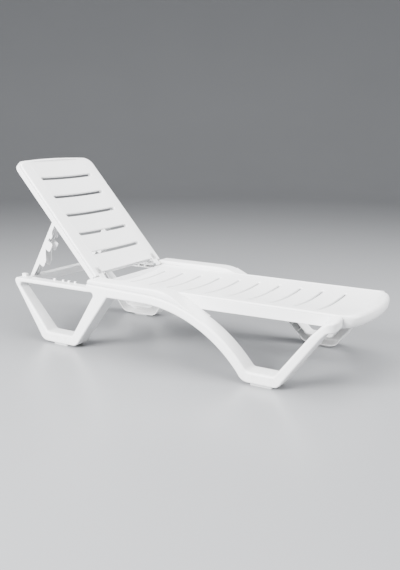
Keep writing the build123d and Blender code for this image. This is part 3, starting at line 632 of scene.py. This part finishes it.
def back_shell(sizes):
    """The backrest panel: a plate in a set-back rim, dished, with five slots and two lugs."""
    shell = Shell()
    corner = BACK_TOP + BACK_ARCH - sqrt(BACK_ARCH ** 2 - BACK_HALF ** 2)
    top = [(BACK_TOP + BACK_ARCH - sqrt(BACK_ARCH ** 2 - y ** 2), y)
           for y in np.linspace(215, -215, 19)]
    plan = Outline([(RIM_BOTTOM, -BACK_HALF, 2), (RIM_BOTTOM, -LUG_INNER, 1),
                    (PANEL_BOTTOM, -LUG_INNER + 1, 2), (PANEL_BOTTOM, LUG_INNER - 1, 2),
                    (RIM_BOTTOM, LUG_INNER, 1), (RIM_BOTTOM, BACK_HALF, 2),
                    (corner, BACK_HALF, BACK_CORNER), *top, (corner, -BACK_HALF, BACK_CORNER)], 18)
    wall = sizes.wall * 1000
    back = BACK_FRONT - RIM_DEPTH
    # inset, height and end inset of each step, round the rim and up to the front face
    steps = ((wall, -wall, 0), (-RIM_OUT + wall, -wall, wall), (-RIM_OUT + wall, back, wall),
             (-RIM_OUT + 0.9, back, 0.8), (-RIM_OUT, back + 0.9, 0), (-RIM_OUT, -2.6, 0),
             (-RIM_OUT + 0.8, -0.8, 0), (-RIM_OUT + 2.6, 0.0, 0), (-2.6, 0.0, 0), (-1.6, -2.2, 0),
             (0, -2.2, 0), (0, BACK_FRONT - 3.6, 0), (1.1, BACK_FRONT - 1.1, 0),
             (3.6, BACK_FRONT - 0.1, 0))
    rings = [lifted(back_ring(plan, wall), back_front, -wall)]
    rings += [np.insert(back_ring(plan, inset, end), 2, height, axis=1)
              for inset, height, end in steps]
    rings.append(lifted(back_ring(plan, 6.0), back_front))
    under, border = shell.bands(rings)
    slots = [slot_outline(-(BACK_SLOT_FIRST + i * BACK_SLOT_PITCH), sizes.slot_width * 1000,
                          sizes.slot_length * 1000) for i in range(sizes.slot_count)]
    above, below = slat_edges(shell, slots, back_front, 3.4, 10.0, 3.2, wall)
    inner = grid(BACK_TOP + 12, PANEL_BOTTOM - 8, 192, 19.1, 16)
    lines = np.array([(x, side * (BACK_DISH_HALF + 3 + off)) for side in (-1, 1)
                      for off in (-7.0, -1.6, 0.0, 1.6, 7.0)
                      for x in np.arange(BACK_TOP + 14, PANEL_BOTTOM - 8, 12)])
    sides = np.array([(x, side * 232.0) for side in (-1, 1)
                      for x in np.arange(BACK_TOP + 20, PANEL_BOTTOM - 8, 20)])
    spots = np.vstack((inner, lines, sides))
    shell.fill([border, *above], (0, 1), spots, lambda found: lifted(found, back_front))
    shell.fill([under, *below], (0, 1), inner, lambda found: lifted(found, back_front, -wall))
    return shell


def back_lugs():
    """The two lugs at the foot of the stiles, rounded about the hinge axis."""
    shell = Shell()
    top = asin(BACK_FRONT / LUG_ROUND)
    end = [(LUG_ROUND * cos(a), LUG_ROUND * sin(a)) for a in np.linspace(-pi / 2, top, 12)]
    lug = Outline([(-66, -LUG_ROUND, 4), *end, (-66, BACK_FRONT, 2)], 40)
    for side in (-1, 1):
        y0, y1 = sorted((side * LUG_INNER, side * LUG_OUTER))
        shell.prism(lug, y0, y1, 2.2)
    return shell


def back_ears():
    """The ears that carry the stay's pins, and the ribs along the stiles."""
    shell = Shell()
    tab = [(EAR_ALONG + 10 * cos(a), EAR_DOWN + 10 * sin(a)) for a in np.linspace(-pi, 0, 13)]
    ear = Outline([*tab, (EAR_ALONG + 18, 3.5, 2), (EAR_ALONG - 18, 3.5, 2)], 30)
    for side in (-1, 1):
        for y in EARS:
            y0, y1 = side * y - 2, side * y + 2
            shell.prism(ear, y0, y1, 0.9)
            for start, end in ((-706, EAR_ALONG - 12), (EAR_ALONG + 12, -26)):
                shell.block(start, end, y0, y1, -13, 3.6, 0.8)
    return shell


# ------------------------------------------------------------------ crossbar
def bar_profile(notched):
    """Section of the crossbar across X and Z: a trough above, hollow below, a line on each face."""
    a, b, line = BAR_FROM, BAR_TO, BAR_LINE
    middle = TROUGH_FLOOR - BAR_WALL
    corners = [
        (a, BAR_BOTTOM, 1.2), (a + BAR_WALL, BAR_BOTTOM, 1.2), (a + BAR_WALL, middle, 1.5),
        (b - BAR_WALL, middle, 1.5), (b - BAR_WALL, BAR_BOTTOM, 1.2), (b, BAR_BOTTOM, 1.2),
        (b, line - 1.4), (b - 1.2, line - 1), (b - 1.2, line + 1), (b, line + 1.4),
        (b, BAR_TOP, 1.9), (b - BAR_WALL, BAR_TOP, 1.9), (b - BAR_WALL, TROUGH_FLOOR, 1.5)]
    if notched:
        corners.append((a, TROUGH_FLOOR, 1.0))
    else:
        corners += [(a + BAR_WALL, TROUGH_FLOOR, 1.5), (a + BAR_WALL, BAR_TOP, 1.9),
                    (a, BAR_TOP, 1.9), (a, line + 1.4), (a + 1.2, line + 1),
                    (a + 1.2, line - 1), (a, line - 1.4)]
    return Outline(corners, 60)


def crossbar_shell():
    """The crossbar, its head-side lip open where the stay's arms swing out."""
    shell = Shell()
    gap_in, gap_out = ARM_MIDDLE - ARM_HALF, ARM_MIDDLE + ARM_HALF
    spans = ((-BAR_END, -gap_out, False), (-gap_out, -gap_in, True), (-gap_in, gap_in, False),
             (gap_in, gap_out, True), (gap_out, BAR_END, False))
    for y0, y1, notched in spans:
        shell.prism(bar_profile(notched), y0, y1, 0.05 if notched else 0.5)
    for side in (-1, 1):
        y0, y1 = sorted((side * TROUGH_HALF, side * BAR_END))
        shell.block(BAR_FROM + 2, BAR_TO - 2, y0, y1, BAR_BOTTOM + 0.5, BAR_TOP - 0.6, 1.5)
    return shell


# ------------------------------------------------------------------ stay
def softened(node, width):
    """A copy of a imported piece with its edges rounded."""
    made = bmesh.new()
    made.from_mesh(frame["nodes"][node].data)
    bmesh.ops.remove_doubles(made, verts=made.verts, dist=1e-5)
    bmesh.ops.dissolve_limit(made, angle_limit=radians(1), verts=made.verts, edges=made.edges)
    mesh = bpy.data.meshes.new(node + "_moulded")
    made.to_mesh(mesh)
    made.free()
    piece = placed(node + "_moulded", mesh)
    bevel = piece.modifiers.new("Rounded edges", "BEVEL")
    bevel.width, bevel.segments, bevel.limit_method = width, 2, "ANGLE"
    bevel.angle_limit, bevel.use_clamp_overlap = radians(40), True
    return piece


def plain(piece):
    """Make a piece's modifiers real, so that what follows works on the result."""
    graph = bpy.context.evaluated_depsgraph_get()
    mesh = bpy.data.meshes.new_from_object(piece.evaluated_get(graph))
    piece.modifiers.clear()
    piece.data = mesh
    return piece


# ------------------------------------------------------------------ finishes
class Value:
    """A shader value that takes part in ordinary sums."""

    def __init__(self, finish, socket):
        self.finish, self.socket = finish, socket

    def sum(self, operation, a, b):
        return self.finish.value("ShaderNodeMath", {"operation": operation}, {0: a, 1: b})

    def __add__(self, other):
        return self.sum("ADD", self, other)

    def __sub__(self, other):
        return self.sum("SUBTRACT", self, other)

    def __rsub__(self, other):
        return self.sum("SUBTRACT", other, self)

    def __mul__(self, other):
        return self.sum("MULTIPLY", self, other)

    __radd__, __rmul__ = __add__, __mul__

    def between(self, low, high):
        """0 below low, 1 above high, and a soft rise between."""
        return self.finish.value("ShaderNodeMapRange", {"interpolation_type": "SMOOTHSTEP"},
                                 {"Value": self, "From Min": low, "From Max": high})


class Finish:
    """A material under construction, with its shader."""

    def __init__(self, name, colour, roughness, **uniform):
        self.material = bpy.data.materials.new(name)
        self.material.use_nodes = True
        self.tree = self.material.node_tree
        self.tree.nodes.clear()
        self.shader = self.node("ShaderNodeBsdfPrincipled", {},
                                {"Base Color": (*colour, 1), "Roughness": roughness, **uniform})
        self.node("ShaderNodeOutputMaterial", {}, {"Surface": self.shader.outputs[0]})
        self.place = self.node("ShaderNodeTexCoord", {}, {}).outputs["Object"]
        self.material.diffuse_color = (*colour, 1)

    def node(self, kind, settings, sockets):
        """Add a node: its settings first, then the values or links of its sockets."""
        made = self.tree.nodes.new(kind)
        for key, setting in settings.items():
            setattr(made, key, setting)
        for socket, value in sockets.items():
            value = value.socket if isinstance(value, Value) else value
            if isinstance(value, bpy.types.NodeSocket):
                self.tree.links.new(value, made.inputs[socket])
            else:
                made.inputs[socket].default_value = value
        return made

    def value(self, kind, settings, sockets, output=0):
        return Value(self, self.node(kind, settings, sockets).outputs[output])

    def noise(self, scale, detail=2.0, roughness=0.5, stretch=None):
        """Noise over the piece, with its scale in cycles for each metre."""
        place = self.place
        if stretch:
            place = self.node("ShaderNodeMapping", {},
                              {"Vector": place, "Scale": stretch}).outputs[0]
        return self.value("ShaderNodeTexNoise", {}, {
            "Vector": place, "Scale": scale, "Detail": detail, "Roughness": roughness})

    def height(self):
        """Height above the ground, as every piece's object sits at the origin."""
        return self.value("ShaderNodeSeparateXYZ", {}, {0: self.place}, 2)

    def blend(self, share, first, second):
        """A colour between two."""
        made = self.node("ShaderNodeMix", {"data_type": "RGBA"}, {
            0: share, 6: first if isinstance(first, bpy.types.NodeSocket) else (*first, 1),
            7: second if isinstance(second, bpy.types.NodeSocket) else (*second, 1)})
        return made.outputs[2]

    def use(self, **sockets):
        """Link what changes over the surface to the shader."""
        for socket, value in sockets.items():
            socket = socket.replace("_", " ")
            value = value.socket if isinstance(value, Value) else value
            self.tree.links.new(value, self.shader.inputs[socket])

    def bump(self, relief, distance, strength=1.0):
        """Raise the surface by a relief, in metres."""
        made = self.node("ShaderNodeBump", {}, {"Height": relief, "Distance": distance,
                                                "Strength": strength})
        self.use(Normal=made.outputs[0])


def white_resin(sizes):
    """Glossy moulded resin: a faint flow pattern, fine grain, and a little dust low down."""
    finish = Finish("White resin", sizes.resin, sizes.resin_roughness,
                    **{"Specular IOR Level": 0.5, "IOR": 1.46, "Coat Weight": 0.12,
                       "Coat Roughness": 0.12})
    flow = finish.noise(5.0, 3.0, 0.55, (1.0, 1.0, 2.2))
    grain = finish.noise(900.0, 2.0, 0.6)
    rubbed = finish.noise(34.0, 5.0, 0.62)
    low = 1 - finish.height().between(0.0, 0.14)
    dust = (low * finish.noise(60.0, 4.0, 0.6).between(0.42, 0.72)) * 0.34
    clean = finish.blend(flow.between(0.35, 0.65), sizes.resin,
                         tuple(0.982 * part for part in sizes.resin))
    finish.use(Base_Color=finish.blend(dust, clean, sizes.dust))
    wear = rubbed.between(0.4, 0.75)
    finish.use(Roughness=sizes.resin_roughness - 0.05 + wear * 0.1 + dust * 0.5)
    finish.bump(grain * 0.00002 + flow * 0.0006, 1.0, 0.55)
    return finish.material


def plated_steel(sizes):
    """Zinc-plated pins and screws, brushed by turning, with dull patches."""
    finish = Finish("Plated steel", sizes.steel, 0.34, Metallic=1.0)
    brushed = finish.noise(420.0, 2.0, 0.5, (1.0, 6.0, 1.0))
    patches = finish.noise(120.0, 4.0, 0.6).between(0.42, 0.7)
    finish.use(Base_Color=finish.blend(patches, sizes.steel,
                                       tuple(0.72 * part for part in sizes.steel)))
    finish.use(Roughness=0.26 + brushed * 0.14 + patches * 0.12)
    finish.bump(brushed * 0.00003, 1.0, 0.7)
    return finish.material


def washer_nylon(sizes):
    """Natural nylon, matt and slightly yellow."""
    finish = Finish("Washer nylon", sizes.nylon, 0.5, **{"Specular IOR Level": 0.45})
    mottle = finish.noise(180.0, 3.0, 0.6)
    finish.use(Base_Color=finish.blend(mottle.between(0.35, 0.7), sizes.nylon,
                                       tuple(0.92 * part for part in sizes.nylon)))
    finish.use(Roughness=0.44 + mottle * 0.14)
    finish.bump(mottle * 0.00004, 1.0, 0.6)
    return finish.material


def foot_rubber(sizes):
    """Soft grey rubber for the pads, dusty where it meets the ground."""
    finish = Finish("Foot rubber", sizes.rubber, 0.78, **{"Specular IOR Level": 0.3})
    grit = finish.noise(340.0, 4.0, 0.65)
    low = 1 - finish.height().between(0.0, 0.006)
    finish.use(Base_Color=finish.blend((low * 0.5 + 0.15) * grit.between(0.3, 0.8), sizes.rubber,
                                       sizes.dust))
    finish.use(Roughness=0.7 + grit * 0.2)
    finish.bump(grit * 0.00008, 1.0, 0.8)
    return finish.material


def studio_floor(sizes):
    """The pale floor and its curved edge, faintly glossy."""
    finish = Finish("Studio floor", sizes.floor, 0.32, **{"Specular IOR Level": 0.42})
    cloud = finish.noise(0.6, 3.0, 0.5)
    finish.use(Base_Color=finish.blend(cloud.between(0.3, 0.7), sizes.floor,
                                       tuple(0.975 * part for part in sizes.floor)))
    finish.use(Roughness=0.28 + cloud * 0.08)
    return finish.material


FINISHES = {}


def finish_of(maker):
    """Each finish is made once."""
    if maker not in FINISHES:
        FINISHES[maker] = maker(bpy.context.scene.lounger_finishes)
    return FINISHES[maker]


# ------------------------------------------------------------------ settings
def length(name, description, default, low, high):
    """A size in the panel, in metres."""
    return FloatProperty(name=name, description=description, default=default, min=low, max=high,
                         unit="LENGTH")


def whole(name, description, default, low, high):
    """A count in the panel."""
    return IntProperty(name=name, description=description, default=default, min=low, max=high)


def power(name, description, default):
    """The power of a light in the panel, in watts."""
    return FloatProperty(name=name, description=description, default=default, min=0.0,
                         max=3000.0, unit="POWER")


def colour(name, description, default):
    """A colour in the panel."""
    return FloatVectorProperty(name=name, description=description, default=default, min=0, max=1,
                               size=3, subtype="COLOR")


class LOUNGER_PG_frames(bpy.types.PropertyGroup):
    """Sizes of the side frames' mouldings."""
    edge: length("Edge Round", "Radius of the frame's outer edges", 0.010, 0.003, 0.014)
    bead: length("Shoulder Round", "Radius of the shoulder bead's edges", 0.008, 0.002, 0.010)
    wall: length("Wall", "Thickness of the moulding's walls", 0.005, 0.003, 0.008)
    webs: whole("Arch Webs", "Stiffening webs inside each arch", 12, 2, 20)


class LOUNGER_PG_deck(bpy.types.PropertyGroup):
    """Sizes of the seat deck."""
    wall: length("Wall", "Thickness of the slats and the skirts", 0.005, 0.003, 0.008)
    slot_count: whole("Slots", "Slots across the deck", 10, 1, 10)
    slot_width: length("Slot Width", "Gap between two slats", 0.014, 0.006, 0.030)
    slot_length: length("Slot Length", "Length of a slot across the deck", 0.330, 0.100, 0.420)


class LOUNGER_PG_backrest(bpy.types.PropertyGroup):
    """Sizes of the backrest panel."""
    wall: length("Wall", "Thickness of the panel", 0.005, 0.003, 0.007)
    slot_count: whole("Slots", "Slots across the backrest", 5, 1, 5)
    slot_width: length("Slot Width", "Gap between two slats", 0.018, 0.006, 0.030)
    slot_length: length("Slot Length", "Length of a slot across the panel", 0.372, 0.100, 0.380)


class LOUNGER_PG_stay(bpy.types.PropertyGroup):
    """Sizes of the support stay."""
    edge: length("Edge Round", "Radius of the arms' moulded edges", 0.0011, 0.0003, 0.002)


class LOUNGER_PG_finishes(bpy.types.PropertyGroup):
    """Colours of the materials."""
    resin: colour("Resin", "Colour of the white mouldings", (0.90, 0.902, 0.905))
    resin_roughness: FloatProperty(name="Resin Roughness", description="How matt the resin is",
                                   default=0.34, min=0.05, max=0.9, subtype="FACTOR")
    dust: colour("Dust", "Colour of the dust near the ground", (0.62, 0.60, 0.56))
    steel: colour("Steel", "Colour of the pins and screws", (0.60, 0.61, 0.62))
    nylon: colour("Nylon", "Colour of the washers", (0.76, 0.74, 0.68))
    rubber: colour("Rubber", "Colour of the foot pads", (0.50, 0.51, 0.52))


class LOUNGER_PG_stage(bpy.types.PropertyGroup):
    """The floor and the lights."""
    floor: colour("Floor", "Colour of the floor and its backdrop", (0.27, 0.275, 0.285))
    floor_radius: length("Floor Radius", "Flat part of the floor", 7.0, 4.0, 20.0)
    key: power("Key Light", "Power of the large light beside the lounger", 1150.0)
    fill: power("Fill Light", "Power of the light above", 480.0)
    ambient: FloatProperty(name="Ambient", description="Strength of the light from all round",
                           default=0.42, min=0.0, max=3.0)
    focal: FloatProperty(name="Focal Length", description="Camera lens, in millimetres",
                         default=44.21, min=10.0, max=200.0)


# ------------------------------------------------------------------ operators
class LOUNGER_OT_side_frames(bpy.types.Operator):
    """Make both side frames: legs, rail, arch, shoulder bead, end block and inner trim"""
    bl_idname = "lounger.side_frames"
    bl_label = "Side Frames"

    def execute(self, context):
        sizes, resin = context.scene.lounger_frames, finish_of(white_resin)
        shell, bead, trim = Shell(), Shell(), Shell()
        frame_band(shell, sizes.edge * 1000, sizes.wall * 1000)
        frame_bead(bead, sizes.bead * 1000)
        frame_trim(trim)
        webs = repeated(web_plate(), resin, sizes.webs, turn=WEB_PITCH, first_turn=WEB_FIRST,
                        pivot=(ARCH_CENTRE * MM + HINGE.x, 0, (UNDERSIDE - ARCH_RADIUS) * MM),
                        lean=LEAN)
        right = [*(made.mesh(as_packed) for made in (shell, bead, trim)), webs]
        for side, meshes in (("right", right), ("left", [mirrored(mesh) for mesh in right])):
            piece = joined(f"side_frame_{side}_moulding", meshes)
            finished(piece, "base", f"side_frame_{side}")
        return {"FINISHED"}


class LOUNGER_OT_seat_deck(bpy.types.Operator):
    """Make the seat deck: slats, border, skirts, end roll and the ribs below"""
    bl_idname = "lounger.seat_deck"
    bl_label = "Seat Deck"

    def execute(self, context):
        sizes, resin = context.scene.lounger_deck, finish_of(white_resin)
        wall = sizes.wall * 1000
        rib = cross_rib(SEAT_SLOT_FIRST - SEAT_SLOT_PITCH / 2, DECK_HALF - wall + 0.5,
                        lambda y: min(seat_dish(y), 313.6) - wall - 0.6, 267.0)
        ribs = repeated(rib.mesh(as_packed), resin, sizes.slot_count + 1,
                        step=(SEAT_SLOT_PITCH * MM, 0, 0))
        long_ribs = Shell()
        for side in (-1, 1):
            y = side * (sizes.slot_length * 500 + 12)
            long_ribs.block(DECK_REAR + 3, DECK_TIP - 36, y - 2, y + 2, 267,
                            float(seat_dish(y)) - wall - 0.8, 0.8)
        piece = joined("seat_deck_moulding", [deck_shell(sizes).mesh(as_packed),
                                              long_ribs.mesh(as_packed), ribs])
        finished(piece, "base", "seat_deck")
        return {"FINISHED"}


class LOUNGER_OT_backrest(bpy.types.Operator):
    """Make the backrest: panel, rim, lugs, and the ribs and ears behind it"""
    bl_idname = "lounger.backrest"
    bl_label = "Backrest"

    def execute(self, context):
        sizes, resin = context.scene.lounger_backrest, finish_of(white_resin)
        wall = sizes.wall * 1000
        rib = cross_rib(-(BACK_SLOT_FIRST - BACK_SLOT_PITCH / 2), EARS[0] - 1,
                        lambda y: float(back_front(0, y)) - wall + 0.6, -13.0)
        turn = radians(-JOINTS["backrest_hinge"]["range_deg"][0])
        step = -BACK_SLOT_PITCH * MM
        ribs = repeated(rib.mesh(leaned_back), resin, sizes.slot_count + 1,
                        step=(step * cos(turn), 0, -step * sin(turn)))
        shells = (back_shell(sizes), back_lugs(), back_ears())
        piece = joined("backrest_moulding", [*(shell.mesh(leaned_back) for shell in shells), ribs])
        finished(piece, "backrest", "backrest_panel")
        return {"FINISHED"}


class LOUNGER_OT_crossbar(bpy.types.Operator):
    """Make the rear crossbar with its trough"""
    bl_idname = "lounger.crossbar"
    bl_label = "Rear Crossbar"

    def execute(self, context):
        piece = joined("rear_crossbar_moulding", [crossbar_shell().mesh(as_packed)])
        finished(piece, "base", "rear_crossbar")
        return {"FINISHED"}


class LOUNGER_OT_stay(bpy.types.Operator):
    """Make the stay: two toothed arms and the tie between them"""
    bl_idname = "lounger.stay"
    bl_label = "Support Stay"

    def execute(self, context):
        width = context.scene.lounger_stay.edge
        for node in ("stay_arm_right", "stay_arm_left", "stay_tie"):
            finished(plain(softened(node, width)), "stay", node, sharp=45)
        return {"FINISHED"}


class LOUNGER_OT_fittings(bpy.types.Operator):
    """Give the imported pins, clips, washers, screws and pads their finishes"""
    bl_idname = "lounger.fittings"
    bl_label = "Fittings"

    def execute(self, context):
        makers = {"hinge_washer": washer_nylon, "foot_pad": foot_rubber}
        metal = ("pin", "clip", "screws")
        for name, node in frame["nodes"].items():
            maker = next((made for key, made in makers.items() if key in name), None)
            if maker is None and any(word in name for word in metal):
                maker = plated_steel
            if maker is None:
                continue
            for slot in node.material_slots:
                slot.material = finish_of(maker)
        return {"FINISHED"}


class LOUNGER_OT_stage(bpy.types.Operator):
    """Make the floor, the lights and the camera"""
    bl_idname = "lounger.stage"
    bl_label = "Studio"

    def execute(self, context):
        sizes, scene = context.scene.lounger_stage, context.scene
        flat, rise, count = sizes.floor_radius, BACKDROP_RISE, FLOOR_SIDES
        profile = [(flat * part, 0.0) for part in (0.25, 0.5, 0.75, 1.0)]
        profile += [(flat + rise * sin(a), rise * (1 - cos(a)))
                    for a in np.linspace(0, pi / 2, 17)[1:]]
        profile.append((flat + rise, rise + 3))
        points = [(0, 0, 0)] + [(r * cos(2 * pi * k / count), r * sin(2 * pi * k / count), z)
                                for r, z in profile for k in range(count)]
        faces = [(0, 1 + k, 1 + (k + 1) % count) for k in range(count)]
        for ring in range(len(profile) - 1):
            low, high = 1 + ring * count, 1 + (ring + 1) * count
            faces += [(low + k, high + k, high + (k + 1) % count, low + (k + 1) % count)
                      for k in range(count)]
        mesh = bpy.data.meshes.new("studio_floor")
        mesh.from_pydata(points, [], faces)
        mesh.polygons.foreach_set("use_smooth", [True] * len(mesh.polygons))
        mesh.materials.append(studio_floor(sizes))
        placed("studio_floor", mesh)

        world = bpy.data.worlds.new("Studio air")
        world.use_nodes = True
        air = world.node_tree.nodes["Background"]
        air.inputs["Color"].default_value = (0.93, 0.96, 1.0, 1)
        air.inputs["Strength"].default_value = sizes.ambient
        scene.world = world
        for name, power, size, place, aim in (
                ("Key light", sizes.key, (3.2, 2.2), (-1.6, -4.2, 2.5), (0.1, 0, 0.2)),
                ("Fill light", sizes.fill, (4.0, 4.0), (0.6, 0.2, 4.2), (0, 0, 0)),
                ("Rim light", sizes.fill * 0.5, (2.5, 1.5), (3.6, 1.4, 2.4), (0, 0, 0.3))):
            lamp = bpy.data.lights.new(name, "AREA")
            lamp.shape, lamp.energy = "RECTANGLE", power
            lamp.size, lamp.size_y = size
            holder = placed(name, lamp)
            holder.location = place
            ahead = Vector(aim) - Vector(place)
            holder.rotation_euler = ahead.to_track_quat("-Z", "Y").to_euler()

        camera = bpy.data.cameras.new("Camera")
        camera.lens, camera.sensor_width = sizes.focal, 36.0
        holder = placed("Camera", camera)
        holder.location = CAMERA_PLACE
        ahead, up = Vector(CAMERA_AHEAD), Vector(CAMERA_UP)
        right = ahead.cross(up).normalized()
        up = right.cross(ahead)
        holder.rotation_euler = Matrix((right, up, -ahead)).transposed().to_euler()
        scene.camera = holder
        return {"FINISHED"}


class LOUNGER_PT_panel(bpy.types.Panel):
    """The lounger's sizes and what makes each piece"""
    bl_idname = "LOUNGER_PT_panel"
    bl_label = "Reclining Sun Lounger"
    bl_space_type = "VIEW_3D"
    bl_region_type = "UI"
    bl_category = "Lounger"

    def draw(self, context):
        for group, operators in SECTIONS:
            box = self.layout.box()
            settings = getattr(context.scene, group)
            for name in settings.bl_rna.properties.keys():
                if name not in ("rna_type", "name"):
                    box.prop(settings, name)
            for operator in operators:
                box.operator(operator.bl_idname)


SECTIONS = (
    ("lounger_frames", (LOUNGER_OT_side_frames, LOUNGER_OT_crossbar)),
    ("lounger_deck", (LOUNGER_OT_seat_deck,)),
    ("lounger_backrest", (LOUNGER_OT_backrest,)),
    ("lounger_stay", (LOUNGER_OT_stay,)),
    ("lounger_finishes", (LOUNGER_OT_fittings,)),
    ("lounger_stage", (LOUNGER_OT_stage,)),
)
SETTINGS = {
    "lounger_frames": LOUNGER_PG_frames, "lounger_deck": LOUNGER_PG_deck,
    "lounger_backrest": LOUNGER_PG_backrest, "lounger_stay": LOUNGER_PG_stay,
    "lounger_finishes": LOUNGER_PG_finishes, "lounger_stage": LOUNGER_PG_stage,
}
CLASSES = (*SETTINGS.values(), *(made for _, group in SECTIONS for made in group),
           LOUNGER_PT_panel)


def register():
    for made in CLASSES:
        bpy.utils.register_class(made)
    for name, group in SETTINGS.items():
        setattr(bpy.types.Scene, name, PointerProperty(type=group))


def unregister():
    for name in SETTINGS:
        delattr(bpy.types.Scene, name)
    for made in reversed(CLASSES):
        bpy.utils.unregister_class(made)


def main():
    register()
    bpy.ops.lounger.side_frames()
    bpy.ops.lounger.crossbar()
    bpy.ops.lounger.seat_deck()
    bpy.ops.lounger.backrest()
    bpy.ops.lounger.stay()
    bpy.ops.lounger.fittings()
    bpy.ops.lounger.stage()


if __name__ == "__main__":
    main()
